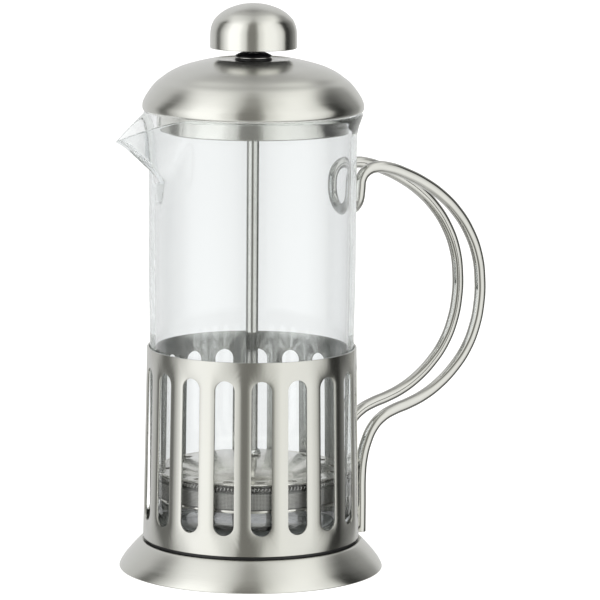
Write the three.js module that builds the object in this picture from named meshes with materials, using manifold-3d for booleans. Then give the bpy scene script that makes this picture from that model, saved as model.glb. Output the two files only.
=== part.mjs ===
// French press with a slotted steel cage, a bent-wire handle, a glass beaker with a pulled
// spout, a domed lid and a plunger with a four-layer filter. Millimetres, +Z up. The origin is
// the bottom centre of the whole object; the handle points to +X and the spout to -X.
import * as THREE from 'three';
import { mergeVertices } from 'three/addons/utils/BufferGeometryUtils.js';
import Module from 'manifold-3d';

const wasm = await Module();
wasm.setup();

// Driving dimensions. Heights are above the table, radii are from the body axis.
const AXIS_X = -18.43;
const ROD_RADIUS = 2.1;
const ROD_HOLE = 2.4;
const ROD_BOTTOM = 20.6;
const ROD_TOP = 185.0;

const SLEEVE_BOTTOM = 10.7;
const SLEEVE_TOP = 75.9;
const SLEEVE_RADIUS_BOTTOM = 36.75;
const SLEEVE_RADIUS_TOP = 35.5;
const SLEEVE_THICKNESS = 0.7;
const SLOT_WIDTH = 7.0;
const SLOT_BOTTOM = 17.6;
const SLOT_TOP = 69.6;
const SLOT_PITCH = 20;
const SLOTS_LEFT_OF_HANDLE = 7;
const SLOTS_RIGHT_OF_HANDLE = 10;
const FIRST_SLOT_LEFT = 17.5;
const FIRST_SLOT_RIGHT = -13.5;

const WIRE_RADIUS = 2.0;
const STRAND_SPACING = 14.6;
const HOOK_REACH = 37.5;
const HOOK_ARC_HEIGHT = 127.9;

const SPOUT_LENGTH = 15.0;
const SPOUT_DROP = 7.4;
const SPOUT_HALF_WIDTH = 14.5;
const SPOUT_START = 134.0;
const RIM_TOP = 155.5;

const PLATE_HOLES = 18;
const PLATE_HOLE_RADIUS = 28.2;
const CROSS_OPENINGS = 6;

const brushed = { color: 0xbcbab4, roughness: 0.36, metalness: 1.0 };
const polished = { color: 0xcfcfcc, roughness: 0.14, metalness: 1.0 };
const glass = { color: 0xe6eef0, roughness: 0.03, metalness: 0.0 };
const black = { color: 0x17171a, roughness: 0.42, metalness: 0.0 };
const meshSteel = { color: 0x8d8c87, roughness: 0.5, metalness: 1.0 };
const silicone = { color: 0xd9dad6, roughness: 0.6, metalness: 0.0 };

// ---- helpers ---------------------------------------------------------------------------

function welded(geometry) {
  const bare = geometry.clone();
  bare.deleteAttribute('normal');
  bare.deleteAttribute('uv');
  return mergeVertices(bare, 1e-4);
}

function toSolid(geometry) {
  const bare = welded(geometry);
  const vertProperties = new Float32Array(bare.attributes.position.array);
  const triVerts = new Uint32Array(bare.index.array);
  return new wasm.Manifold(new wasm.Mesh({ numProp: 3, vertProperties, triVerts }));
}

function toGeometry(solid) {
  const mesh = solid.getMesh();
  const geometry = new THREE.BufferGeometry();
  geometry.setAttribute('position', new THREE.BufferAttribute(mesh.vertProperties, 3));
  geometry.setIndex(new THREE.BufferAttribute(mesh.triVerts, 1));
  return geometry;
}

// Turns a profile of [radius, height] pairs round the vertical axis. The profile runs
// anticlockwise: up the outside and down the inside.
function turned(profile, segments) {
  const points = profile.map(([radius, height]) => new THREE.Vector2(radius, height));
  const onAxis = profile[0][0] === 0 && profile[profile.length - 1][0] === 0;
  if (!onAxis) {
    points.push(points[0].clone());
  }
  const geometry = new THREE.LatheGeometry(points, segments);
  geometry.rotateX(Math.PI / 2);
  return geometry;
}

function ring(inner, outer, bottom, top, segments) {
  return turned([[inner, bottom], [outer, bottom], [outer, top], [inner, top]], segments);
}

// A bar with a round-ended slot outline, pointing outward along the given direction.
function slotCutter(width, bottom, top, from, to, degrees) {
  const half = width / 2;
  const outline = new THREE.Shape();
  outline.absarc(0, top - half, half, 0, Math.PI, false);
  outline.absarc(0, bottom + half, half, Math.PI, 2 * Math.PI, false);
  outline.closePath();
  const options = { depth: to - from, bevelEnabled: false, curveSegments: 4 };
  const bar = new THREE.ExtrudeGeometry(outline, options);
  bar.translate(0, 0, from);
  bar.rotateX(Math.PI / 2);
  bar.rotateZ(THREE.MathUtils.degToRad(degrees + 90));
  return bar;
}

// ---- base ------------------------------------------------------------------------------

function baseFoot() {
  const outside = [
    [42.9, 0], [44.8, 0], [44.8, 0.5], [43.9, 1.5], [43.1, 3.2], [41.5, 5.3], [39.3, 7.8],
    [37.2, 9.9], [36.6, 10.4],
  ];
  const inside = [[33.0, 10.4], [33.0, 9.4], [36.0, 9.4], [38.4, 7.1], [41.2, 3.9]];
  return turned([...outside, ...inside], 48);
}

function baseFloor() {
  return turned([[0, 10.8], [35.4, 10.8], [35.4, 11.5], [0, 11.5]], 40);
}

function beakerPad() {
  return ring(18, 29.5, 11.8, 12.5, 32);
}

// ---- sleeve ----------------------------------------------------------------------------

function slotAngles() {
  const left = Array.from({ length: SLOTS_LEFT_OF_HANDLE }, (_, i) => FIRST_SLOT_LEFT + i * SLOT_PITCH);
  const right = Array.from({ length: SLOTS_RIGHT_OF_HANDLE }, (_, i) => FIRST_SLOT_RIGHT - i * SLOT_PITCH);
  return [...left, ...right];
}

function cage() {
  let solid = toSolid(turned([
    [SLEEVE_RADIUS_BOTTOM - SLEEVE_THICKNESS, SLEEVE_BOTTOM],
    [SLEEVE_RADIUS_BOTTOM, SLEEVE_BOTTOM],
    [SLEEVE_RADIUS_TOP, SLEEVE_TOP],
    [SLEEVE_RADIUS_TOP - SLEEVE_THICKNESS, SLEEVE_TOP],
  ], 60));
  for (const degrees of slotAngles()) {
    solid = solid.subtract(toSolid(slotCutter(SLOT_WIDTH, SLOT_BOTTOM, SLOT_TOP, 30, 42, degrees)));
  }
  return toGeometry(solid);
}

// ---- handle ----------------------------------------------------------------------------

// One strand of the hairpin from its cut end on the sleeve to the hook, as [reach, height].
const STRAND = [
  [38.9, 9.9], [38.9, 20], [38.9, 29], [39.4, 34.5], [40.9, 40.2], [43.7, 45.6], [47.6, 49.0],
  [52.0, 50.9], [57.5, 52.5], [63.3, 54.7], [69.5, 58.3], [75.6, 63.5], [80.7, 69.9],
  [84.2, 77.5], [86.2, 86.0], [86.4, 94.0], [84.9, 102.6], [81.3, 111.2], [76.0, 118.6],
  [69.9, 124.3], [63.0, 128.9], [55.8, 132.4], [49.2, 134.7], [43.8, 135.3], [40.2, 134.2],
  [38.1, 131.8],
];

function handlePath() {
  const half = STRAND_SPACING / 2;
  const strand = (side) => STRAND.map(([reach, height]) => new THREE.Vector3(reach, side * half, height));
  const hook = [];
  for (let degrees = 0; degrees <= 180; degrees += 22.5) {
    const turn = THREE.MathUtils.degToRad(degrees);
    const y = -half * Math.cos(turn);
    hook.push(new THREE.Vector3(HOOK_REACH, y, HOOK_ARC_HEIGHT - half * Math.sin(turn)));
  }
  const points = [...strand(-1), ...hook, ...strand(1).reverse()];
  return new THREE.CatmullRomCurve3(points, false, 'centripetal');
}

function handleWire() {
  const section = new THREE.Shape();
  section.absarc(0, 0, WIRE_RADIUS, 0, 2 * Math.PI, false);
  const options = { steps: 84, extrudePath: handlePath(), bevelEnabled: false, curveSegments: 5 };
  return new THREE.ExtrudeGeometry(section, options);
}

// ---- beaker ----------------------------------------------------------------------------

// Pulls the glass near -X outward and down into a pointed spout.
function pullSpout(geometry) {
  const position = geometry.attributes.position;
  for (let i = 0; i < position.count; i += 1) {
    const x = position.getX(i);
    const z = position.getZ(i);
    const up = Math.min(1, Math.max(0, (z - SPOUT_START) / (RIM_TOP - SPOUT_START)));
    const halfWidth = SPOUT_HALF_WIDTH * (0.3 + 0.7 * up);
    const across = Math.max(0, 1 - Math.abs(position.getY(i)) / halfWidth);
    if (x < 0 && across > 0 && up > 0) {
      const pull = Math.pow(across, 1.25) * (1 - Math.pow(1 - up, 1.6));
      position.setX(i, x - SPOUT_LENGTH * pull);
      position.setZ(i, z - SPOUT_DROP * Math.pow(across, 1.4) * Math.pow(up, 2));
    }
  }
  return geometry;
}

function beaker() {
  const outside = [
    [0, 13.5], [20, 13.3], [26.5, 12.8], [30.6, 13.8], [33.2, 16.4], [34.4, 20.5], [34.5, 76],
    [34.95, 100], [34.95, 134], [34.95, 141], [34.98, 147.5], [35.6, 151.2], [36.9, 154.7],
    [36.6, 155.4],
  ];
  const inside = [
    [36.0, 155.5], [34.6, 153.5], [33.3, 150.5], [33.0, 147], [33.0, 141], [33.0, 134],
    [33.0, 100], [32.6, 76], [32.6, 21], [31.6, 17.8], [29.4, 16.0], [26, 15.4], [0, 15.6],
  ];
  return pullSpout(turned([...outside, ...inside], 48));
}

// ---- lid -------------------------------------------------------------------------------

function lidDome() {
  const outside = [
    [35.7, 156.1], [36.7, 156.1], [37.27, 157.5], [37.1, 158.8], [36.5, 160.2], [34.8, 162.9],
    [32.5, 165.6], [29.0, 168.25], [23.5, 170.9], [18.5, 172.3], [13.3, 173.5], [12.3, 173.3],
    [11.8, 172.5],
  ];
  const inside = [
    [ROD_HOLE, 172.5], [ROD_HOLE, 171.7], [12.6, 171.7], [18.3, 171.4], [23.1, 170.0],
    [28.4, 167.5], [31.8, 164.9], [34.1, 162.3], [36.0, 159.0],
  ];
  return turned([...outside, ...inside], 44);
}

function lidSkirt() {
  return turned([
    [ROD_HOLE, 156.4], [31.3, 156.4], [31.5, 149.4], [32.3, 149.4], [32.5, 156.4], [35.3, 156.4],
    [35.3, 157.1], [ROD_HOLE, 157.1],
  ], 40);
}

function collarBase() {
  return ring(ROD_HOLE, 6.2, 172.7, 173.6, 24);
}

function collarRing() {
  return ring(ROD_HOLE, 6.0, 173.75, 174.1, 24);
}

function collarCone() {
  return turned([
    [ROD_HOLE, 174.25], [6.1, 174.25], [6.1, 174.6], [4.2, 175.5], [ROD_HOLE, 175.5],
  ], 24);
}

// ---- knob ------------------------------------------------------------------------------

function knobShell() {
  return turned([
    [0, 191.1], [3.7, 190.9], [7.7, 189.7], [10.0, 188.4], [11.5, 187.1], [12.7, 185.7],
    [13.5, 183.5], [13.8, 180.9], [13.8, 177.0], [14.6, 177.0], [14.6, 181.0], [14.33, 183.7],
    [13.4, 186.2], [12.1, 187.7], [10.6, 189.0], [8.1, 190.4], [3.9, 191.7], [0, 192.0],
  ], 32);
}

function knobCore() {
  return turned([
    [0, 186.2], [ROD_HOLE, 186.2], [ROD_HOLE, 175.8], [3.65, 175.8], [3.65, 178.2],
    [13.4, 178.2], [13.4, 180.8], [12.9, 183.6], [10.8, 186.6], [6, 189.2], [0, 189.9],
  ], 28);
}

// ---- plunger and filter ----------------------------------------------------------------

function plungerRod() {
  return turned([
    [0, ROD_BOTTOM], [1.6, ROD_BOTTOM], [ROD_RADIUS, ROD_BOTTOM + 0.5], [ROD_RADIUS, ROD_TOP],
    [0, ROD_TOP],
  ], 20);
}

function filterHub() {
  return turned([
    [ROD_HOLE, 39.6], [4.2, 39.6], [4.2, 41.4], [3.2, 42.4], [ROD_HOLE, 42.4],
  ], 20);
}

function filterPlate() {
  let solid = toSolid(turned([
    [ROD_HOLE, 38.6], [10, 37.8], [18, 35.8], [24, 33.7], [31.4, 33.5], [32.2, 34.0],
    [31.8, 34.5], [24.2, 34.4], [18.2, 36.5], [10, 38.5], [ROD_HOLE, 39.3],
  ], 36));
  for (let i = 0; i < PLATE_HOLES; i += 1) {
    const hole = new THREE.BoxGeometry(1.8, 5.0, 4);
    hole.translate(PLATE_HOLE_RADIUS, 0, 34);
    hole.rotateZ((2 * Math.PI * i) / PLATE_HOLES);
    solid = solid.subtract(toSolid(hole));
  }
  return toGeometry(solid);
}

function filterSpring() {
  const geometry = new THREE.TorusGeometry(31.1, 0.85, 6, 40);
  geometry.translate(0, 0, 32.4);
  return geometry;
}

function filterMesh() {
  return turned([
    [ROD_HOLE, 30.6], [31.0, 30.6], [31.2, 25.7], [31.9, 25.7], [31.9, 30.8], [31.4, 31.3],
    [ROD_HOLE, 31.3],
  ], 40);
}

function crossPlate() {
  let solid = toSolid(ring(ROD_HOLE, 31.8, 24.5, 25.4, 40));
  for (let i = 0; i < CROSS_OPENINGS; i += 1) {
    const hole = new THREE.CylinderGeometry(5.6, 5.6, 4, 12);
    hole.rotateX(Math.PI / 2);
    hole.scale(1.35, 1, 1);
    hole.translate(18.6, 0, 25);
    hole.rotateZ((2 * Math.PI * (i + 0.5)) / CROSS_OPENINGS);
    solid = solid.subtract(toSolid(hole));
  }
  return toGeometry(solid);
}

function crossNut() {
  return turned([
    [ROD_HOLE, 21.0], [4.4, 21.0], [5.2, 21.8], [5.2, 24.2], [ROD_HOLE, 24.2],
  ], 20);
}

// ---- assembly --------------------------------------------------------------------------

const pieces = [
  ['base_foot', baseFoot(), brushed],
  ['base_floor', baseFloor(), brushed],
  ['beaker_pad', beakerPad(), silicone],
  ['cage', cage(), brushed],
  ['handle_wire', handleWire(), polished],
  ['beaker', beaker(), glass],
  ['lid_dome', lidDome(), brushed],
  ['lid_skirt', lidSkirt(), brushed],
  ['collar_base', collarBase(), black],
  ['collar_ring', collarRing(), polished],
  ['collar_cone', collarCone(), black],
  ['knob_shell', knobShell(), brushed],
  ['knob_core', knobCore(), black],
  ['plunger_rod', plungerRod(), polished],
  ['filter_hub', filterHub(), polished],
  ['filter_plate', filterPlate(), brushed],
  ['filter_spring', filterSpring(), polished],
  ['filter_mesh', filterMesh(), meshSteel],
  ['cross_plate', crossPlate(), brushed],
  ['cross_nut', crossNut(), polished],
];

const frenchPress = new THREE.Group();
const body = new THREE.Group();
body.position.x = AXIS_X;
for (const [name, geometry, look] of pieces) {
  const mesh = new THREE.Mesh(geometry, new THREE.MeshStandardMaterial(look));
  mesh.name = name;
  body.add(mesh);
}
frenchPress.add(body);

export default frenchPress;
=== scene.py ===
import math

import bpy
from mathutils import Matrix, Vector


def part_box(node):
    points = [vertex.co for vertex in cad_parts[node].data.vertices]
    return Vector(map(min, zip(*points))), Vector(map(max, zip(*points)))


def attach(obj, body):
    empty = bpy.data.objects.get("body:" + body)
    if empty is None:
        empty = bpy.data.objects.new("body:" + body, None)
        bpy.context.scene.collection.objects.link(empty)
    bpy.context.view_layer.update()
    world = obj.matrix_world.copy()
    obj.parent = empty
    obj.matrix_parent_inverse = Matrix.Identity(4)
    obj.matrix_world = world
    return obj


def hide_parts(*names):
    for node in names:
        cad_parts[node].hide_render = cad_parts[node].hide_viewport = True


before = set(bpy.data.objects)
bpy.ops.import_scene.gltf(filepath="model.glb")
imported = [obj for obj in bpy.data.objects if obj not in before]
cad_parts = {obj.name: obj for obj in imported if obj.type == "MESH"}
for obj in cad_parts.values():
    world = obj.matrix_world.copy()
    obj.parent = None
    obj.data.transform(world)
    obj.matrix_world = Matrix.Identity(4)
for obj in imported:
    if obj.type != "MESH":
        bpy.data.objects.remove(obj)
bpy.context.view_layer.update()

# Everything is in millimetres until it becomes a mesh. MM turns it into metres.
MM = 0.001
FULL_TURN = 2 * math.pi
COMPARE_WITHIN = 0.5

rod_low, rod_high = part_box("plunger_rod")
AXIS = (rod_low + rod_high) / 2
AXIS.z = 0
cage_low, cage_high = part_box("cage")

# Camera and view
CAMERA_DISTANCE = 1.3634
CAMERA_HEIGHT = 0.3013
CAMERA_BESIDE = 0.00045
HANDLE_TURN = math.radians(29.0)
CAMERA_YAW = math.radians(0.661)
CAMERA_PITCH = math.radians(8.741)
CAMERA_ROLL = math.radians(0.426)
CAMERA_LENS = 244.8

# Cage. Slots are set out in degrees round the axis, and a degree is DEGREE_WIDTH wide when flat.
SLOT_WIDTH = 7.0
SLOT_BOTTOM = 17.6
SLOT_TOP = 69.6
SLOT_PITCH = 20.0
SLOT_RING = 28
FIRST_RIGHT_SLOT = -193.5
RIGHT_SLOTS = 10
HANDLE_STRIP = 11.0
LEFT_SLOTS = 7
SEAM_STRIP = 9.0
SLEEVE_THICKNESS = 0.7
SLEEVE_RADIUS_BOTTOM = 36.75
SLEEVE_RADIUS_TOP = 35.5
DEGREE_WIDTH = 0.63

# Handle
WIRE_RADIUS = 2.0
STRAND_SPACING = 14.6
HOOK_REACH = 37.5
HOOK_ARC_HEIGHT = 127.9

# Spout
SPOUT_LENGTH = 14.98
SPOUT_DROP = 7.4
SPOUT_HALF_WIDTH = 16.0
SPOUT_START = 134.0
SPOUT_FLANK_CURVE = 1.5
SPOUT_LIP_CURVE = 1.6
SPOUT_RISE_CURVE = 1.6
RIM_TOP = 155.5

# Filter
PLATE_HOLES = 16
SPRING_COILS = 160
KNOTS_A_COIL = 6
SPRING_RADIUS = 31.0
COIL_RADIUS = 0.68
SPRING_HEIGHT = 32.4
SPRING_WIRE = 0.2

# Glass
GLASS_INDEX = 1.47
ESCAPING_SHARE = 0.75
GLASS_EDGE_WHITENESS = 0.4

# Studio. Angles run round the object from the camera's side, positive to its right. The low
# bands are seen near the horizon, the high ones above, and each stop is (angle, brightness).
FLOOR_GLOW = 0.6
FLOOR_GLOW_THROUGH_GLASS = 0.3
WALL_BANDS = (
    (-180, (0.70, 0.70, 0.70)), (-150, (0.70, 0.70, 0.70)), (-125, (0.62, 0.62, 0.61)),
    (-117, (0.40, 0.40, 0.39)), (-111, (0.15, 0.15, 0.14)), (-104, (0.17, 0.17, 0.16)),
    (-92, (0.62, 0.62, 0.60)), (-80, (1.0, 1.0, 0.98)), (-66, (1.42, 1.42, 1.40)),
    (-42, (1.40, 1.40, 1.37)), (-27, (0.98, 0.98, 0.95)), (-20, (0.80, 0.80, 0.77)),
    (-14.5, (0.24, 0.235, 0.215)), (4, (0.23, 0.225, 0.205)), (9, (0.36, 0.36, 0.33)),
    (16, (0.88, 0.88, 0.84)), (36, (1.20, 1.20, 1.16)), (58, (1.18, 1.18, 1.15)),
    (78, (0.95, 0.95, 0.92)), (88.5, (0.64, 0.64, 0.61)), (95, (0.025, 0.025, 0.022)),
    (107, (0.03, 0.03, 0.027)), (117, (0.12, 0.12, 0.115)), (136, (0.30, 0.30, 0.29)),
    (156, (0.66, 0.66, 0.65)), (180, (0.70, 0.70, 0.70)),
)
WALL_BANDS_HIGH = (
    (-180, (0.30, 0.30, 0.29)), (-155, (0.45, 0.45, 0.44)), (-125, (0.86, 0.86, 0.84)),
    (-80, (1.1, 1.1, 1.08)), (-60, (1.2, 1.2, 1.17)), (-36, (1.0, 1.0, 0.97)),
    (-20, (0.62, 0.62, 0.59)), (-8, (0.30, 0.295, 0.27)), (8, (0.30, 0.295, 0.27)),
    (18, (0.65, 0.65, 0.61)), (36, (1.0, 1.0, 0.96)), (60, (1.2, 1.2, 1.16)),
    (100, (1.1, 1.1, 1.06)), (126, (0.90, 0.90, 0.87)), (155, (0.45, 0.45, 0.44)),
    (180, (0.30, 0.30, 0.29)),
)
HIGH_SHARE = ((-90, 0.0), (36, 0.0), (56, 1.0), (90, 1.0))
WALL_SHARE = ((-70, 0.2), (-40, 1.0), (54, 1.0), (89, 0.1))
CEILING_AND_FLOOR = ((-90, (0.6, 0.6, 0.58)), (0, (0.55, 0.55, 0.53)), (90, (0.58, 0.58, 0.56)))


# ---- small tools -----------------------------------------------------------------------

def deselect():
    bpy.ops.object.select_all(action="DESELECT")


def active():
    return bpy.context.view_layer.objects.active


def pick(piece):
    deselect()
    piece.select_set(True)
    bpy.context.view_layer.objects.active = piece


def name_piece(name):
    piece = active()
    piece.name = name
    piece.data.name = name
    return piece


def place_in_mesh(piece):
    pick(piece)
    bpy.ops.object.transform_apply(location=True, rotation=True, scale=True)


def add_modifier(piece, kind, **settings):
    pick(piece)
    modifier = piece.modifiers.new(kind.title(), kind)
    for key, value in settings.items():
        setattr(modifier, key, value)
    bpy.ops.object.modifier_apply(modifier=modifier.name)


def soften_edges(piece, width, segments=2, angle=35):
    add_modifier(
        piece, "BEVEL", width=width * MM, segments=segments, limit_method="ANGLE",
        angle_limit=math.radians(angle), miter_outer="MITER_ARC",
    )


def smooth(piece, angle=40):
    pick(piece)
    bpy.ops.object.shade_smooth_by_angle(angle=math.radians(angle))


def finish_piece(piece, body, slot, material, *nodes):
    """Gives a piece its finish and says what it moves with and which CAD nodes it stands for."""
    piece.data.materials.clear()
    piece.data.materials.append(material)
    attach(piece, body)
    if nodes:
        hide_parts(*nodes)
    return piece


def curve_through(points, steps=6):
    """Points on a smooth line through the given [radius, height] points."""
    line = [points[0]]
    for i in range(len(points) - 1):
        before = Vector(points[max(i - 1, 0)])
        start, end = Vector(points[i]), Vector(points[i + 1])
        after = Vector(points[min(i + 2, len(points) - 1)])
        leave, arrive = (end - before) / 2, (after - start) / 2
        for step in range(1, steps + 1):
            t = step / steps
            spot = (
                start * (2 * t**3 - 3 * t**2 + 1) + leave * (t**3 - 2 * t**2 + t)
                + end * (3 * t**2 - 2 * t**3) + arrive * (t**3 - t**2)
            )
            line.append((spot.x, spot.y))
    return line


def start_point(name, radius, height):
    """A mesh of one point in the half plane towards the handle, left in edit mode."""
    deselect()
    place = (AXIS.x + radius * MM, AXIS.y, height * MM)
    bpy.ops.mesh.primitive_plane_add(size=MM, location=place)
    piece = name_piece(name)
    bpy.ops.object.mode_set(mode="EDIT")
    bpy.ops.mesh.select_all(action="SELECT")
    bpy.ops.mesh.merge(type="CENTER")
    return piece


def turned(name, outline, steps=96, edge=0.12, angle=40):
    """A piece turned about the body axis from an outline of [radius, height] points.

    The outline closes on itself, or starts and ends on the axis.
    """
    piece = start_point(name, *outline[0])
    for here, there in zip(outline, outline[1:]):
        step = ((there[0] - here[0]) * MM, 0, (there[1] - here[1]) * MM)
        bpy.ops.mesh.extrude_region_move(TRANSFORM_OT_translate={"value": step})
    on_axis = outline[0][0] == 0 and outline[-1][0] == 0
    if not on_axis:
        bpy.ops.mesh.select_all(action="DESELECT")
        bpy.ops.object.mode_set(mode="OBJECT")
        for point in piece.data.vertices:
            point.select = point.index in (0, len(outline) - 1)
        bpy.ops.object.mode_set(mode="EDIT")
        bpy.ops.mesh.edge_face_add()
    bpy.ops.mesh.select_all(action="SELECT")
    bpy.ops.mesh.spin(steps=steps, angle=FULL_TURN, center=AXIS, axis=(0, 0, 1))
    bpy.ops.mesh.select_all(action="SELECT")
    bpy.ops.mesh.remove_doubles(threshold=0.004 * MM)
    bpy.ops.mesh.normals_make_consistent(inside=False)
    bpy.ops.object.mode_set(mode="OBJECT")
    place_in_mesh(piece)
    if edge:
        soften_edges(piece, edge)
    smooth(piece, angle)
    return piece


def select_points(piece, wanted):
    """Selects the points that meet a rule, and the edges between them."""
    points = piece.data.vertices
    for point in points:
        point.select = wanted(point)
    for edge in piece.data.edges:
        edge.select = all(points[i].select for i in edge.vertices)


def move_points(piece, change):
    """Moves every point of a mesh by a rule for its place."""
    for point in piece.data.vertices:
        point.co = change(point.co)


def wire(name, points, radius, closed=False, round_steps=8, between=8):
    """A round bar along a smooth line through points in metres, with flat ends."""
    deselect()
    bpy.ops.curve.primitive_bezier_curve_add()
    piece = name_piece(name)
    piece.location = (0, 0, 0)
    line = piece.data
    line.splines.clear()
    spline = line.splines.new("BEZIER")
    spline.bezier_points.add(len(points) - 1)
    for knot, place in zip(spline.bezier_points, points):
        knot.co = place
        knot.handle_left_type = knot.handle_right_type = "AUTO"
    spline.use_cyclic_u = closed
    spline.resolution_u = between
    line.dimensions = "3D"
    line.twist_mode = "MINIMUM"
    line.bevel_depth = radius * MM
    line.bevel_resolution = round_steps
    line.use_fill_caps = not closed
    pick(piece)
    bpy.ops.object.convert(target="MESH")
    piece = name_piece(name)
    bpy.ops.object.mode_set(mode="EDIT")
    bpy.ops.mesh.select_all(action="SELECT")
    bpy.ops.mesh.remove_doubles(threshold=0.002 * MM)
    bpy.ops.mesh.normals_make_consistent(inside=False)
    bpy.ops.object.mode_set(mode="OBJECT")
    place_in_mesh(piece)
    return piece


# ---- shader groups ---------------------------------------------------------------------

def new_group(name, inputs, outputs):
    group = bpy.data.node_groups.new(name, "ShaderNodeTree")
    for label, kind, value in inputs:
        socket = group.interface.new_socket(label, in_out="INPUT", socket_type=kind)
        socket.default_value = value
    for label, kind in outputs:
        group.interface.new_socket(label, in_out="OUTPUT", socket_type=kind)
    return group, group.nodes.new("NodeGroupInput"), group.nodes.new("NodeGroupOutput")


def calculate(tree, operation, first, second=None):
    """A Math node: each argument is a socket or a number."""
    node = tree.nodes.new("ShaderNodeMath")
    node.operation = operation
    node.inputs[2].default_value = COMPARE_WITHIN
    for socket, value in zip(node.inputs, (first, second)):
        if isinstance(value, bpy.types.NodeSocket):
            tree.links.new(value, socket)
        elif value is not None:
            socket.default_value = value
    return node.outputs[0]


def remap(tree, value, low, high, to_low, to_high):
    node = tree.nodes.new("ShaderNodeMapRange")
    tree.links.new(value, node.inputs["Value"])
    for label, number in (("From Min", low), ("From Max", high)):
        node.inputs[label].default_value = number
    for label, number in (("To Min", to_low), ("To Max", to_high)):
        if isinstance(number, bpy.types.NodeSocket):
            tree.links.new(number, node.inputs[label])
        else:
            node.inputs[label].default_value = number
    return node.outputs["Result"]


def axis_coordinates(tree):
    """Object coordinates measured from the body axis, and the distance from it."""
    place = tree.nodes.new("ShaderNodeTexCoord")
    centre = tree.nodes.new("ShaderNodeMapping")
    centre.inputs["Location"].default_value = (-AXIS.x, -AXIS.y, 0)
    tree.links.new(place.outputs["Object"], centre.inputs["Vector"])
    parts = tree.nodes.new("ShaderNodeSeparateXYZ")
    tree.links.new(centre.outputs["Vector"], parts.inputs["Vector"])
    across = calculate(tree, "MULTIPLY", parts.outputs["X"], parts.outputs["X"])
    along = calculate(tree, "MULTIPLY", parts.outputs["Y"], parts.outputs["Y"])
    distance = calculate(tree, "SQRT", calculate(tree, "ADD", across, along))
    return centre.outputs["Vector"], parts, distance


def noise(tree, vector, scale, detail=2.0, rough=0.5, dimensions="3D", w=None):
    node = tree.nodes.new("ShaderNodeTexNoise")
    node.noise_dimensions = dimensions
    node.inputs["Scale"].default_value = scale
    node.inputs["Detail"].default_value = detail
    node.inputs["Roughness"].default_value = rough
    tree.links.new(vector, node.inputs["Vector"])
    if w is not None:
        tree.links.new(w, node.inputs["W"])
    return node.outputs["Fac"]


def turned_brushing_group():
    """Fine lines that run round the body axis, as satin brushing on a lathe leaves them."""
    tree, inputs, outputs = new_group(
        "turned_brushing",
        [
            ("Lines per metre", "NodeSocketFloat", 2600.0),
            ("Streak length", "NodeSocketFloat", 2.2),
            ("Contrast", "NodeSocketFloat", 0.5),
        ],
        [("Lines", "NodeSocketFloat"), ("Broad", "NodeSocketFloat")],
    )
    centred, parts, distance = axis_coordinates(tree)
    safe = calculate(tree, "MAXIMUM", distance, 0.0005)
    heading = tree.nodes.new("ShaderNodeCombineXYZ")
    for label in ("X", "Y"):
        unit = calculate(tree, "DIVIDE", parts.outputs[label], safe)
        stretched = calculate(tree, "MULTIPLY", unit, inputs.outputs["Streak length"])
        tree.links.new(stretched, heading.inputs[label])
    fine_height = calculate(tree, "MULTIPLY", parts.outputs["Z"], inputs.outputs["Lines per metre"])
    tree.links.new(fine_height, heading.inputs["Z"])
    fine_distance = calculate(tree, "MULTIPLY", distance, inputs.outputs["Lines per metre"])
    lines = noise(tree, heading.outputs[0], 1.0, 3.0, 0.65, "4D", fine_distance)
    centred_lines = calculate(tree, "SUBTRACT", lines, 0.5)
    scaled = calculate(tree, "MULTIPLY", centred_lines, inputs.outputs["Contrast"])
    tree.links.new(calculate(tree, "ADD", scaled, 0.5), outputs.inputs["Lines"])
    broad = noise(tree, centred, 55.0, 2.0, 0.5)
    tree.links.new(broad, outputs.inputs["Broad"])
    return tree


def handling_group():
    """Soft uneven patches, such as fingers and wiping leave on bright metal and glass."""
    tree, inputs, outputs = new_group(
        "handling_marks",
        [("Patch scale", "NodeSocketFloat", 40.0), ("Amount", "NodeSocketFloat", 0.5)],
        [("Patches", "NodeSocketFloat")],
    )
    place = tree.nodes.new("ShaderNodeTexCoord")
    node = tree.nodes.new("ShaderNodeTexNoise")
    node.inputs["Detail"].default_value = 4.0
    tree.links.new(place.outputs["Object"], node.inputs["Vector"])
    tree.links.new(inputs.outputs["Patch scale"], node.inputs["Scale"])
    spread = remap(tree, node.outputs["Fac"], 0.4, 0.7, 0.0, 1.0)
    patches = calculate(tree, "MULTIPLY", spread, inputs.outputs["Amount"])
    tree.links.new(patches, outputs.inputs["Patches"])
    return tree


BRUSHING = turned_brushing_group()
HANDLING = handling_group()


def use_group(tree, group, **values):
    node = tree.nodes.new("ShaderNodeGroup")
    node.node_tree = group
    for label, value in values.items():
        node.inputs[label.replace("_", " ")].default_value = value
    return node


def new_material(name):
    material = bpy.data.materials.new(name)
    material.use_nodes = True
    tree = material.node_tree
    return material, tree, tree.nodes["Principled BSDF"]


def add_bump(tree, shader, height, strength, distance):
    bump = tree.nodes.new("ShaderNodeBump")
    bump.inputs["Strength"].default_value = strength
    bump.inputs["Distance"].default_value = distance * MM
    tree.links.new(height, bump.inputs["Height"])
    tree.links.new(bump.outputs["Normal"], shader.inputs["Normal"])


def blend_colours(tree, factor, low, high):
    node = tree.nodes.new("ShaderNodeMix")
    node.data_type = "RGBA"
    tree.links.new(factor, node.inputs["Factor"])
    node.inputs["A"].default_value = (*low, 1)
    node.inputs["B"].default_value = (*high, 1)
    return node.outputs["Result"]


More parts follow.
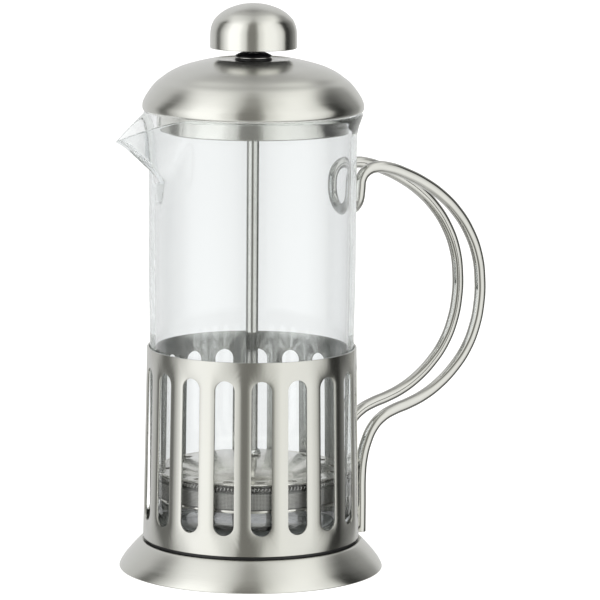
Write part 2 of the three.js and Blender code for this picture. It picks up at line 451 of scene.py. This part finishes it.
def brushed_steel(name, light, dark, low_rough, high_rough, lines, streak, contrast, bump, grain):
    """Satin stainless steel, brushed round the body axis."""
    material, tree, shader = new_material(name)
    brushing = use_group(
        tree, BRUSHING, Lines_per_metre=lines, Streak_length=streak, Contrast=contrast
    )
    marks = use_group(tree, HANDLING, Patch_scale=35.0, Amount=0.05)
    tone = calculate(tree, "SUBTRACT", brushing.outputs["Lines"], marks.outputs["Patches"])
    tree.links.new(blend_colours(tree, tone, dark, light), shader.inputs["Base Color"])
    rough = remap(tree, brushing.outputs["Lines"], 0.3, 0.7, low_rough, high_rough)
    worn = calculate(tree, "ADD", rough, marks.outputs["Patches"])
    tree.links.new(worn, shader.inputs["Roughness"])
    shader.inputs["Metallic"].default_value = 1.0
    shader.inputs["Anisotropic"].default_value = grain
    shader.inputs["Anisotropic Rotation"].default_value = 0.25
    tangent = tree.nodes.new("ShaderNodeTangent")
    tangent.direction_type = "RADIAL"
    tangent.axis = "Z"
    tree.links.new(tangent.outputs["Tangent"], shader.inputs["Tangent"])
    add_bump(tree, shader, brushing.outputs["Lines"], bump, 0.02)
    return material


def bright_steel(name, colour, low_rough, high_rough):
    """Polished wire and rod, with faint wiping marks."""
    material, tree, shader = new_material(name)
    marks = use_group(tree, HANDLING, Patch_scale=60.0, Amount=1.0)
    dull = tuple(channel * 0.93 for channel in colour)
    tree.links.new(
        blend_colours(tree, marks.outputs["Patches"], colour, dull), shader.inputs["Base Color"]
    )
    rough = remap(tree, marks.outputs["Patches"], 0.0, 1.0, low_rough, high_rough)
    tree.links.new(rough, shader.inputs["Roughness"])
    shader.inputs["Metallic"].default_value = 1.0
    return material


def clear_glass():
    """Clear glass. Most light trapped inside a wall is let out, so rims and edges stay pale."""
    material, tree, shader = new_material("clear_glass")
    marks = use_group(tree, HANDLING, Patch_scale=25.0, Amount=1.0)
    rough = remap(tree, marks.outputs["Patches"], 0.0, 1.0, 0.0, 0.015)
    tree.links.new(rough, shader.inputs["Roughness"])
    shader.inputs["Base Color"].default_value = (0.945, 0.958, 0.967, 1)
    shader.inputs["Transmission Weight"].default_value = 1.0
    shader.inputs["IOR"].default_value = GLASS_INDEX
    light_path = tree.nodes.new("ShaderNodeLightPath")
    fresnel = tree.nodes.new("ShaderNodeFresnel")
    fresnel.inputs["IOR"].default_value = GLASS_INDEX
    side = tree.nodes.new("ShaderNodeNewGeometry")
    trapped = calculate(tree, "GREATER_THAN", fresnel.outputs["Fac"], 0.9)
    inside = calculate(tree, "MULTIPLY", trapped, side.outputs["Backfacing"])
    escaping = calculate(tree, "MULTIPLY", inside, ESCAPING_SHARE)
    see_through = tree.nodes.new("ShaderNodeBsdfTransparent")
    see_through.inputs["Color"].default_value = (0.93, 0.95, 0.95, 1)
    mix = tree.nodes.new("ShaderNodeMixShader")
    straight = calculate(tree, "MAXIMUM", light_path.outputs["Is Shadow Ray"], escaping)
    tree.links.new(straight, mix.inputs[0])
    tree.links.new(shader.outputs[0], mix.inputs[1])
    tree.links.new(see_through.outputs[0], mix.inputs[2])
    tree.links.new(mix.outputs[0], tree.nodes["Material Output"].inputs["Surface"])
    return material


def black_plastic():
    material, tree, shader = new_material("black_plastic")
    place = tree.nodes.new("ShaderNodeTexCoord")
    grain = noise(tree, place.outputs["Object"], 3000.0, 3.0, 0.6)
    tree.links.new(
        blend_colours(tree, grain, (0.010, 0.010, 0.011), (0.022, 0.022, 0.024)),
        shader.inputs["Base Color"],
    )
    tree.links.new(remap(tree, grain, 0.3, 0.7, 0.3, 0.45), shader.inputs["Roughness"])
    add_bump(tree, shader, grain, 0.15, 0.01)
    return material


def woven_steel():
    """Fine wire cloth: two crossing sets of threads round and along the axis."""
    material, tree, shader = new_material("woven_steel")
    _, parts, distance = axis_coordinates(tree)
    angle = calculate(tree, "ARCTAN2", parts.outputs["Y"], parts.outputs["X"])
    around = calculate(tree, "SINE", calculate(tree, "MULTIPLY", angle, 420.0))
    up = calculate(tree, "ADD", parts.outputs["Z"], distance)
    along = calculate(tree, "SINE", calculate(tree, "MULTIPLY", up, 14000.0))
    weave = calculate(tree, "MAXIMUM", around, along)
    threads = remap(tree, weave, -0.6, 1.0, 0.0, 1.0)
    tree.links.new(
        blend_colours(tree, threads, (0.09, 0.09, 0.085), (0.52, 0.51, 0.48)),
        shader.inputs["Base Color"],
    )
    tree.links.new(remap(tree, threads, 0.0, 1.0, 0.75, 0.38), shader.inputs["Roughness"])
    shader.inputs["Metallic"].default_value = 0.9
    add_bump(tree, shader, threads, 0.6, 0.08)
    return material


def clear_silicone():
    material, tree, shader = new_material("clear_silicone")
    place = tree.nodes.new("ShaderNodeTexCoord")
    cloud = noise(tree, place.outputs["Object"], 120.0, 3.0, 0.5)
    tree.links.new(
        blend_colours(tree, cloud, (0.62, 0.63, 0.62), (0.72, 0.73, 0.72)),
        shader.inputs["Base Color"],
    )
    tree.links.new(remap(tree, cloud, 0.3, 0.7, 0.45, 0.6), shader.inputs["Roughness"])
    shader.inputs["Subsurface Weight"].default_value = 0.2
    shader.inputs["Subsurface Radius"].default_value = (0.002, 0.002, 0.002)
    return material


SPUN = brushed_steel(
    "spun_steel", (0.77, 0.77, 0.735), (0.68, 0.68, 0.645), 0.17, 0.25, 2600.0, 2.2, 0.7, 0.07, 0.75
)
KNOB_SATIN = brushed_steel(
    "knob_steel", (0.78, 0.78, 0.745), (0.71, 0.71, 0.675), 0.15, 0.21, 3000.0, 2.2, 0.7, 0.07, 0.7
)
SHEET = brushed_steel(
    "sheet_steel", (0.665, 0.665, 0.63), (0.605, 0.605, 0.575), 0.20, 0.24, 2000.0, 1.2, 0.35, 0.015, 0.86
)
PLATE = brushed_steel(
    "pressed_steel", (0.93, 0.91, 0.85), (0.80, 0.78, 0.72), 0.10, 0.18, 1500.0, 6.0, 0.8, 0.08, 0.8
)
POLISHED = bright_steel("polished_steel", (0.64, 0.64, 0.615), 0.03, 0.06)
GLASS = clear_glass()
BLACK = black_plastic()
WOVEN = woven_steel()
SILICONE = clear_silicone()


# ---- foot, floor plate and pad ---------------------------------------------------------

def base_foot():
    flare = curve_through([
        (44.5, 0.0), (44.78, 0.3), (44.65, 0.8), (44.15, 1.8), (43.25, 3.2), (42.15, 4.6),
        (40.95, 6.0), (39.7, 7.4), (38.35, 8.8), (37.6, 9.45), (37.0, 9.65), (36.5, 9.4),
    ], 3)
    underside = curve_through([
        (35.2, 7.8), (37.2, 7.1), (39.4, 5.2), (41.4, 3.0), (42.9, 0.9), (43.3, 0.0),
    ], 3)
    outline = [*flare, (35.9, 8.6), (33.0, 8.4), (33.0, 7.8), *underside]
    return turned("flared_foot", outline, steps=144, edge=0.08)


def base_floor():
    outline = [
        (0, 10.8), (35.5, 10.8), (35.5, 11.5), (31.6, 11.5), (31.2, 11.15), (30.6, 11.15),
        (30.2, 11.5), (16.5, 11.5), (16.0, 11.2), (15.4, 11.2), (14.9, 11.5), (0, 11.5),
    ]
    return turned("floor_plate", outline, steps=96, edge=0.08)


# A black ring inside the gap between the foot and the sleeve. It is painted shade: a dark thing put where
# the joint has only shadow, so the joint shows a dark line.
def painted_shade_ring():
    return turned("painted_shade_ring", [(33.6, 8.8), (35.7, 8.8), (35.7, 10.4), (33.6, 10.4)], edge=0.1)


def beaker_pad():
    return turned("beaker_pad", [(18, 11.8), (29.5, 11.8), (29.5, 12.5), (18, 12.5)], edge=0.2)


# ---- cage ------------------------------------------------------------------------------

def panel_edge(x, z, end, half_pitch, edge_height):
    """Where the line from a slot's rounded end through a point meets the panel's edge."""
    up = z - end
    reach = half_pitch / abs(x) if abs(x) > 1e-9 else 1e9
    limit = (edge_height - end) / up if abs(up) > 1e-9 else 1e9
    factor = min(reach, limit if limit > 0 else 1e9)
    return x * factor, end + up * factor


def slotted_panel():
    """One flat panel of the sleeve with its round-ended slot, as wide as the slots' spacing."""
    half = SLOT_WIDTH / 2 * MM
    low_end, high_end = SLOT_BOTTOM * MM + half, SLOT_TOP * MM - half
    half_pitch = SLOT_PITCH / 2 * DEGREE_WIDTH * MM
    deselect()
    bpy.ops.mesh.primitive_circle_add(
        vertices=SLOT_RING, radius=half, fill_type="NOTHING", location=(0, 0, low_end),
        rotation=(math.pi / 2, math.pi / SLOT_RING, 0),
    )
    piece = name_piece("slotted_sleeve")
    place_in_mesh(piece)
    select_points(piece, lambda point: point.co.z > low_end)
    bpy.ops.object.mode_set(mode="EDIT")
    bpy.ops.transform.translate(value=(0, 0, high_end - low_end))
    bpy.ops.mesh.select_all(action="SELECT")
    bpy.ops.mesh.extrude_region_move()
    bpy.ops.object.mode_set(mode="OBJECT")
    outer = [point for point in piece.data.vertices if point.select]
    for point in outer:
        top = point.co.z > (low_end + high_end) / 2
        end = high_end if top else low_end
        edge_height = cage_high.z if top else cage_low.z
        x, z = panel_edge(point.co.x, point.co.z, end, half_pitch, edge_height)
        point.co = (x, 0, z)
    for x in (-half_pitch, half_pitch):
        for z in (cage_low.z, cage_high.z):
            corner = Vector((x, 0, z))
            min(outer, key=lambda point: (point.co - corner).length).co = corner
    return piece


def row_of_panels(first, count, strip):
    """Panels side by side from the first slot's angle on, with a plain strip at the far end."""
    piece = slotted_panel()
    pitch = SLOT_PITCH * DEGREE_WIDTH * MM
    add_modifier(
        piece, "ARRAY", count=count, use_relative_offset=False, use_constant_offset=True,
        constant_offset_displace=(pitch, 0, 0), use_merge_vertices=True, merge_threshold=0.01 * MM,
    )
    far_edge = (count - 0.5) * pitch
    select_points(piece, lambda point: point.co.x > far_edge - 0.01 * MM)
    bpy.ops.object.mode_set(mode="EDIT")
    for _ in range(4):
        step = (strip / 4 * DEGREE_WIDTH * MM, 0, 0)
        bpy.ops.mesh.extrude_region_move(TRANSFORM_OT_translate={"value": step})
    bpy.ops.mesh.select_all(action="SELECT")
    bpy.ops.transform.translate(value=(first * DEGREE_WIDTH * MM, 0, 0))
    bpy.ops.object.mode_set(mode="OBJECT")
    return piece


def round_the_axis(place):
    angle = math.radians(place.x / (DEGREE_WIDTH * MM))
    share = (place.z - cage_low.z) / (cage_high.z - cage_low.z)
    radius = SLEEVE_RADIUS_BOTTOM + (SLEEVE_RADIUS_TOP - SLEEVE_RADIUS_BOTTOM) * share
    return Vector((
        AXIS.x + radius * MM * math.cos(angle), AXIS.y + radius * MM * math.sin(angle), place.z
    ))


def slotted_sleeve():
    right = row_of_panels(FIRST_RIGHT_SLOT, RIGHT_SLOTS, HANDLE_STRIP)
    last_right = FIRST_RIGHT_SLOT + (RIGHT_SLOTS - 1) * SLOT_PITCH
    first_left = last_right + SLOT_PITCH + HANDLE_STRIP
    left = row_of_panels(first_left, LEFT_SLOTS, SEAM_STRIP)
    pick(right)
    left.select_set(True)
    bpy.ops.object.join()
    piece = name_piece("slotted_sleeve")
    move_points(piece, round_the_axis)
    bpy.ops.object.mode_set(mode="EDIT")
    bpy.ops.mesh.select_all(action="SELECT")
    bpy.ops.mesh.remove_doubles(threshold=0.02 * MM)
    bpy.ops.mesh.normals_make_consistent(inside=False)
    bpy.ops.object.mode_set(mode="OBJECT")
    middle = piece.data.polygons[0]
    outward = Vector((middle.center.x - AXIS.x, middle.center.y - AXIS.y, 0))
    if middle.normal.dot(outward) < 0:
        piece.data.flip_normals()
    add_modifier(piece, "SOLIDIFY", thickness=SLEEVE_THICKNESS * MM, offset=-1.0)
    soften_edges(piece, 0.13, 2, 50)
    smooth(piece, 30)
    return piece


# ---- handle ----------------------------------------------------------------------------

# One strand of the hairpin from its cut end to the hook, as (reach, height).
STRAND = (
    (38.9, 9.4), (38.9, 20), (38.9, 29), (39.4, 34.5), (40.9, 40.2), (43.7, 45.6), (47.6, 49.0),
    (52.0, 50.9), (57.5, 52.5), (63.3, 54.7), (69.5, 58.3), (75.6, 63.5), (80.7, 69.9),
    (84.2, 77.5), (86.0, 86.0), (86.2, 94.0), (84.9, 102.6), (81.3, 111.2), (76.0, 118.6),
    (69.9, 124.3), (63.0, 128.9), (55.8, 132.4), (49.2, 134.7), (43.8, 135.3), (40.2, 134.2),
    (38.1, 131.8),
)


def handle_point(reach, side, height):
    return AXIS + Vector((reach, side, height)) * MM


def handle_wire():
    half = STRAND_SPACING / 2
    near = [handle_point(reach, -half, height) for reach, height in STRAND]
    far = [handle_point(reach, half, height) for reach, height in reversed(STRAND)]
    hook = []
    for i in range(9):
        turn = math.pi * i / 8
        drop = half * math.sin(turn)
        hook.append(handle_point(HOOK_REACH, -half * math.cos(turn), HOOK_ARC_HEIGHT - drop))
    piece = wire("hairpin_handle", near + hook + far, WIRE_RADIUS, round_steps=7, between=6)
    soften_edges(piece, 0.25, 2, 60)
    smooth(piece, 45)
    return piece


# ---- beaker ----------------------------------------------------------------------------

def pull_spout(place):
    """The glass near the lip drawn outward and down into a pointed spout."""
    x, y, z = (place - AXIS) / MM
    up = min(1.0, max(0.0, (z - SPOUT_START) / (RIM_TOP - SPOUT_START)))
    across = max(0.0, 1 - abs(y) / (SPOUT_HALF_WIDTH * (0.3 + 0.7 * up)))
    if x >= 0 or across == 0 or up == 0:
        return place
    x -= SPOUT_LENGTH * across**SPOUT_FLANK_CURVE * (1 - (1 - up) ** SPOUT_RISE_CURVE)
    z -= SPOUT_DROP * across**SPOUT_LIP_CURVE * up**2
    return AXIS + Vector((x, y, z)) * MM


def beaker():
    outside = curve_through([
        (0, 13.5), (12, 13.45), (20, 13.25), (26.5, 12.85), (30.6, 13.8), (33.2, 16.4),
        (34.4, 20.5), (34.5, 30),
    ], 4)
    wall = [(34.5, z) for z in range(40, 77, 12)]
    upper = curve_through([(34.5, 78), (34.7, 88), (34.93, 99), (34.95, 110), (34.95, 120)], 2)
    lip = curve_through([
        (34.95, 132), (34.95, 138), (34.95, 144), (35.05, 148), (35.7, 151.2), (36.6, 153.7),
        (36.9, 154.7), (36.65, 155.35), (36.1, 155.5), (35.5, 155.0), (34.6, 153.4), (33.5, 150.8),
        (33.05, 147), (33.0, 141), (33.0, 134),
    ], 4)
    inside = [(33.0, 122), (33.0, 111), (32.9, 99), (32.75, 88), (32.6, 76), (32.6, 60), (32.6, 42)]
    bottom = curve_through([
        (32.6, 28), (32.5, 21.5), (31.5, 17.9), (29.2, 16.0), (26, 15.45), (12, 15.55), (0, 15.6),
    ], 4)
    outline = [*outside, *wall, *upper, *lip, *inside, *bottom]
    piece = turned("glass_beaker", outline, steps=192, edge=0, angle=60)
    move_points(piece, pull_spout)
    pick(piece)
    bpy.ops.object.shade_smooth()
    return piece


# ---- lid -------------------------------------------------------------------------------

def lid_dome():
    rim = curve_through([(36.7, 155.9), (37.15, 156.5), (37.27, 157.5)], 3)
    crown = curve_through([
        (37.27, 157.7), (37.1, 158.8), (36.5, 160.2), (35.75, 161.5), (34.8, 162.9), (33.8, 164.2),
        (32.5, 165.6), (30.8, 166.9), (29.0, 168.25), (26.6, 169.6), (23.5, 170.9), (18.5, 172.3),
        (13.4, 173.4),
    ], 4)
    recess = curve_through([(12.9, 173.45), (12.5, 173.3), (12.1, 173.05), (11.5, 172.95)], 3)
    underside = curve_through([
        (12.6, 171.7), (18.3, 171.4), (23.1, 170.0), (28.4, 167.5), (31.8, 164.9), (34.1, 162.3),
        (36.0, 159.0), (36.2, 157.5), (35.9, 155.9),
    ], 3)
    outline = [*rim, *crown, *recess, (7.4, 172.85), (6.8, 172.5), (2.4, 172.5), (2.4, 171.7), *underside]
    return turned("domed_lid", outline, steps=160, edge=0.08)


def lid_skirt():
    outline = [
        (2.4, 156.4), (30.6, 156.4), (31.3, 155.8), (31.6, 149.8), (32.0, 149.4), (32.4, 149.8),
        (32.45, 155.8), (33.0, 156.4), (35.3, 156.4), (35.3, 157.1), (2.4, 157.1),
    ]
    return turned("lid_skirt", outline, steps=128, edge=0.15)


def collar_pieces():
    base = turned("collar_base", [(2.4, 172.7), (6.2, 172.7), (6.2, 173.6), (2.4, 173.6)], 64, 0.15)
    ring = turned("collar_ring", [(2.4, 173.75), (6.0, 173.75), (6.0, 174.1), (2.4, 174.1)], 64, 0.08)
    cone = [(2.4, 174.25), (6.1, 174.25), (6.1, 174.6), (5.0, 175.15), (4.2, 175.5), (2.4, 175.5)]
    return base, ring, turned("collar_cone", cone, 64, 0.12)


# ---- knob ------------------------------------------------------------------------------

def knob_shell():
    outside = curve_through([
        (14.62, 177.15), (14.62, 179), (14.6, 181.0), (14.5, 182.7), (14.3, 183.9), (13.93, 185.05),
        (13.28, 186.4), (12.1, 187.75), (10.6, 189.0), (8.1, 190.4), (3.9, 191.7), (0, 192.0),
    ], 4)
    inside = curve_through([
        (0, 191.1), (3.7, 190.8), (7.7, 189.6), (10.0, 188.3), (11.5, 187.1), (12.8, 185.5),
        (13.5, 183.5), (13.75, 180.9), (13.8, 177.0),
    ], 3)
    return turned("knob_shell", [*inside, (14.5, 177.0), *outside], steps=128, edge=0.1)


def knob_core():
    outline = [
        (0, 186.2), (2.4, 186.2), (2.4, 175.8), (3.3, 175.8), (3.65, 176.1), (3.65, 178.2),
        (13.4, 178.2), (13.4, 180.8), (12.9, 183.6), (10.8, 186.6), (6, 189.2), (0, 189.9),
    ]
    return turned("knob_core", outline, steps=64, edge=0.12)


# ---- plunger and filter ----------------------------------------------------------------

def plunger_rod():
    outline = [(0, 20.6), (1.7, 20.6), (2.1, 21.0), (2.1, 60), (2.1, 120), (2.1, 185), (0, 185)]
    return turned("plunger_rod", outline, steps=48, edge=0)


def filter_hub():
    outline = [(2.4, 38.9), (3.3, 38.9), (3.3, 39.4), (2.9, 39.9), (2.7, 40.4), (2.4, 40.6)]
    return turned("filter_hub", outline, steps=48, edge=0.12)


def filter_plate():
    top = curve_through([
        (32.15, 34.1), (31.8, 34.45), (31.0, 34.3), (28, 34.25), (25.6, 34.3), (24.9, 34.55),
        (24.2, 35.0), (23.2, 35.55), (21.5, 36.2), (19, 36.9), (15.5, 37.6), (11, 38.15),
        (6, 38.5), (2.4, 38.6),
    ], 2)
    under = curve_through([
        (2.4, 37.9), (6, 37.8), (11, 37.45), (15.5, 36.9), (19, 36.2), (21.5, 35.5),
        (23.0, 34.85), (24.0, 34.25), (24.9, 33.75), (25.6, 33.6), (28, 33.55), (31.0, 33.55),
        (31.8, 33.6),
    ], 2)
    piece = turned("filter_plate", [*top, *under], steps=128, edge=0)
    cut(piece, punches(PLATE_HOLES, 27.9, (1.6, 1.6), 33.9, 0.0))
    smooth(piece, 35)
    return piece


def punches(count, radius, half_sizes, height, first):
    """Upright bars in a ring about the axis, joined, for cutting holes. The first is at an angle."""
    bars = []
    for i in range(count):
        deselect()
        angle = first + FULL_TURN * i / count
        place = AXIS + Vector((radius * math.cos(angle), radius * math.sin(angle), height)) * MM
        bpy.ops.mesh.primitive_cylinder_add(
            vertices=32, radius=MM, depth=5 * MM, location=place, rotation=(0, 0, angle)
        )
        bar = name_piece("punch")
        bar.scale = (half_sizes[0], half_sizes[1], 1)
        place_in_mesh(bar)
        bars.append(bar)
    pick(bars[0])
    for bar in bars:
        bar.select_set(True)
    bpy.ops.object.join()
    return active()


def cut(piece, cutter):
    add_modifier(piece, "BOOLEAN", operation="DIFFERENCE", solver="EXACT", object=cutter)
    bpy.data.objects.remove(cutter)


def filter_spring():
    points = []
    for i in range(SPRING_COILS * KNOTS_A_COIL):
        around = FULL_TURN * i / (SPRING_COILS * KNOTS_A_COIL)
        turn = FULL_TURN * i / KNOTS_A_COIL
        radius = SPRING_RADIUS + COIL_RADIUS * math.cos(turn)
        points.append(AXIS + Vector((
            radius * math.cos(around), radius * math.sin(around),
            SPRING_HEIGHT + COIL_RADIUS * math.sin(turn),
        )) * MM)
    piece = wire("filter_spring", points, SPRING_WIRE, closed=True, round_steps=1, between=3)
    smooth(piece, 80)
    return piece


def filter_mesh():
    outline = [
        (2.4, 30.6), (30.7, 30.6), (31.0, 30.2), (31.2, 25.8), (31.5, 25.6), (31.85, 25.8),
        (31.85, 30.8), (31.4, 31.3), (2.4, 31.3),
    ]
    return turned("filter_mesh", outline, steps=128, edge=0.12)


def cross_plate():
    outline = [
        (2.4, 24.6), (29.5, 24.6), (30.6, 24.5), (31.6, 24.5), (31.8, 24.95), (31.6, 25.4),
        (30.6, 25.4), (29.5, 25.2), (2.4, 25.2),
    ]
    piece = turned("cross_plate", outline, steps=128, edge=0)
    cut(piece, punches(6, 18.6, (7.6, 5.6), 25.0, math.pi / 6))
    smooth(piece, 35)
    return piece


def cross_nut():
    outline = [(2.4, 21.0), (4.6, 21.0), (5.2, 21.6), (5.2, 24.2), (2.4, 24.2)]
    return turned("cross_nut", outline, steps=48, edge=0.12)


# ---- the object ------------------------------------------------------------------------

finish_piece(base_foot(), "frame", "brushed_steel", SPUN, "base_foot")
finish_piece(base_floor(), "frame", "brushed_steel", SHEET, "base_floor")
# The black ring below the sleeve is painted shade at the joint, not a real part.
finish_piece(painted_shade_ring(), "frame", "black_plastic", BLACK)
finish_piece(beaker_pad(), "frame", "clear_silicone", SILICONE, "beaker_pad")
finish_piece(slotted_sleeve(), "frame", "brushed_steel", SHEET, "cage")
finish_piece(handle_wire(), "frame", "polished_steel", POLISHED, "handle_wire")
finish_piece(beaker(), "beaker", "clear_glass", GLASS, "beaker")
finish_piece(lid_dome(), "lid", "brushed_steel", SPUN, "lid_dome")
finish_piece(lid_skirt(), "lid", "brushed_steel", KNOB_SATIN, "lid_skirt")
collar_low, collar_bright, collar_high = collar_pieces()
finish_piece(collar_low, "lid", "black_plastic", BLACK, "collar_base")
finish_piece(collar_bright, "lid", "polished_steel", POLISHED, "collar_ring")
finish_piece(collar_high, "lid", "black_plastic", BLACK, "collar_cone")
finish_piece(knob_shell(), "knob", "brushed_steel", KNOB_SATIN, "knob_shell")
finish_piece(knob_core(), "knob", "black_plastic", BLACK, "knob_core")
finish_piece(plunger_rod(), "plunger", "polished_steel", POLISHED, "plunger_rod")
finish_piece(filter_hub(), "plunger", "polished_steel", POLISHED, "filter_hub")
finish_piece(filter_plate(), "plunger", "brushed_steel", PLATE, "filter_plate")
finish_piece(filter_spring(), "plunger", "polished_steel", POLISHED, "filter_spring")
finish_piece(filter_mesh(), "plunger", "mesh_steel", WOVEN, "filter_mesh")
finish_piece(cross_plate(), "cross_plate", "brushed_steel", PLATE, "cross_plate")
finish_piece(cross_nut(), "cross_plate", "polished_steel", POLISHED, "cross_nut")


# ---- floor, light and camera -----------------------------------------------------------

def bounces_so_far(tree):
    """1 where light has bounced off steel or another surface, 0 if it only went through glass.

    Light that only bounced inside one glass wall counts less, so edges of glass stay pale.
    """
    light_path = tree.nodes.new("ShaderNodeLightPath")
    bounces = calculate(
        tree, "ADD", light_path.outputs["Glossy Depth"], light_path.outputs["Diffuse Depth"]
    )
    bounced = calculate(tree, "MINIMUM", bounces, 1.0)
    inside_one_wall = calculate(tree, "COMPARE", light_path.outputs["Transmission Depth"], 2.0)
    soft = calculate(tree, "MULTIPLY", inside_one_wall, GLASS_EDGE_WHITENESS)
    return calculate(tree, "MULTIPLY", bounced, calculate(tree, "SUBTRACT", 1.0, soft)), light_path


def studio_floor():
    """A white floor that glows a little. Steel reflects the studio instead of it."""
    deselect()
    bpy.ops.mesh.primitive_plane_add(size=16, location=(0, 0, 0))
    floor = name_piece("studio_floor")
    material, tree, shader = new_material("studio_floor")
    shader.inputs["Base Color"].default_value = (0.8, 0.8, 0.8, 1)
    shader.inputs["Roughness"].default_value = 1.0
    shader.inputs["Specular IOR Level"].default_value = 0.0
    shader.inputs["Emission Color"].default_value = (1, 1, 1, 1)
    bounced, light_path = bounces_so_far(tree)
    glow = remap(
        tree, light_path.outputs["Is Camera Ray"], 0.0, 1.0, FLOOR_GLOW_THROUGH_GLASS, FLOOR_GLOW
    )
    tree.links.new(glow, shader.inputs["Emission Strength"])
    glossy = calculate(tree, "MINIMUM", light_path.outputs["Glossy Depth"], 1.0)
    clear = tree.nodes.new("ShaderNodeBsdfTransparent")
    mix = tree.nodes.new("ShaderNodeMixShader")
    tree.links.new(calculate(tree, "MULTIPLY", bounced, glossy), mix.inputs[0])
    tree.links.new(shader.outputs[0], mix.inputs[1])
    tree.links.new(clear.outputs[0], mix.inputs[2])
    tree.links.new(mix.outputs[0], tree.nodes["Material Output"].inputs["Surface"])
    floor.data.materials.append(material)


def studio_world():
    """Soft boxes and dark gaps round the object, a plain ceiling, and white seen directly."""
    world = bpy.data.worlds.new("studio")
    bpy.context.scene.world = world
    world.use_nodes = True
    tree = world.node_tree
    place = tree.nodes.new("ShaderNodeTexCoord")
    turn = tree.nodes.new("ShaderNodeMapping")
    turn.inputs["Rotation"].default_value = (0, 0, math.pi / 2 + HANDLE_TURN)
    tree.links.new(place.outputs["Generated"], turn.inputs["Vector"])
    parts = tree.nodes.new("ShaderNodeSeparateXYZ")
    tree.links.new(turn.outputs["Vector"], parts.inputs["Vector"])
    angle = calculate(tree, "ARCTAN2", parts.outputs["Y"], parts.outputs["X"])
    around = remap(tree, angle, -math.pi, math.pi, 0.0, 1.0)
    rise = calculate(tree, "ARCSINE", parts.outputs["Z"])
    height = remap(tree, rise, -math.pi / 2, math.pi / 2, 0.0, 1.0)
    walls = mixed(
        tree, ramp_over(tree, height, HIGH_SHARE, 180), ramp_over(tree, around, WALL_BANDS, 360),
        ramp_over(tree, around, WALL_BANDS_HIGH, 360),
    )
    room = mixed(
        tree, ramp_over(tree, height, WALL_SHARE, 180),
        ramp_over(tree, height, CEILING_AND_FLOOR, 180), walls,
    )
    white = tree.nodes.new("ShaderNodeRGB")
    white.outputs["Color"].default_value = (1.05, 1.05, 1.05, 1)
    bounced, light_path = bounces_so_far(tree)
    shown = mixed(tree, bounced, white.outputs["Color"], room)
    tree.links.new(shown, tree.nodes["Background"].inputs["Color"])


def mixed(tree, factor, low, high):
    """The low colour where the factor is 0 and the high one where it is 1, all three sockets."""
    node = tree.nodes.new("ShaderNodeMix")
    node.data_type = "RGBA"
    tree.links.new(factor, node.inputs["Factor"])
    tree.links.new(low, node.inputs["A"])
    tree.links.new(high, node.inputs["B"])
    return node.outputs["Result"]


def ramp_over(tree, value, stops, span):
    """A colour ramp through (angle, colour or share) stops, over a span of angles centred on 0."""
    node = tree.nodes.new("ShaderNodeValToRGB")
    node.color_ramp.interpolation = "EASE"
    tree.links.new(value, node.inputs["Fac"])
    points = node.color_ramp.elements
    for i, (angle, tone) in enumerate(stops):
        place = angle / span + 0.5
        point = points[i] if i < len(points) else points.new(place)
        point.position = place
        point.color = (*tone, 1) if isinstance(tone, tuple) else (tone, tone, tone, 1)
    return node.outputs["Color"]


def soft_box(name, azimuth, elevation, distance, width, height, power):
    """An area light aimed at the middle of the object. Azimuth 0 is towards the handle."""
    turn, rise = math.radians(azimuth), math.radians(elevation)
    way = Vector((math.cos(turn) * math.cos(rise), math.sin(turn) * math.cos(rise), math.sin(rise)))
    target = AXIS + Vector((0, 0, 0.1))
    lamp = bpy.data.lights.new(name, "AREA")
    lamp.shape = "RECTANGLE"
    lamp.size, lamp.size_y = width, height
    lamp.energy = power
    holder = bpy.data.objects.new(name, lamp)
    bpy.context.scene.collection.objects.link(holder)
    holder.location = target + way * distance
    holder.rotation_euler = way.to_track_quat("Z", "Y").to_euler()
    holder.visible_glossy = False


def studio_camera():
    camera = bpy.data.cameras.new("studio_camera")
    camera.lens = CAMERA_LENS
    camera.sensor_width = 36
    camera.clip_end = 50
    holder = bpy.data.objects.new("studio_camera", camera)
    bpy.context.scene.collection.objects.link(holder)
    turn = Matrix.Rotation(-HANDLE_TURN, 4, "Z")
    holder.location = AXIS + turn @ Vector((CAMERA_BESIDE, -CAMERA_DISTANCE, CAMERA_HEIGHT))
    heading = Matrix.Rotation(-HANDLE_TURN - CAMERA_YAW, 4, "Z")
    tilt = Matrix.Rotation(math.pi / 2 - CAMERA_PITCH, 4, "X")
    roll = Matrix.Rotation(CAMERA_ROLL, 4, "Z")
    holder.rotation_euler = (heading @ tilt @ roll).to_euler()
    bpy.context.scene.camera = holder


studio_floor()
studio_world()
soft_box("top_box", -100, 70, 1.6, 1.6, 1.6, 6)
studio_camera()
bpy.context.scene.view_settings.view_transform = "Standard"
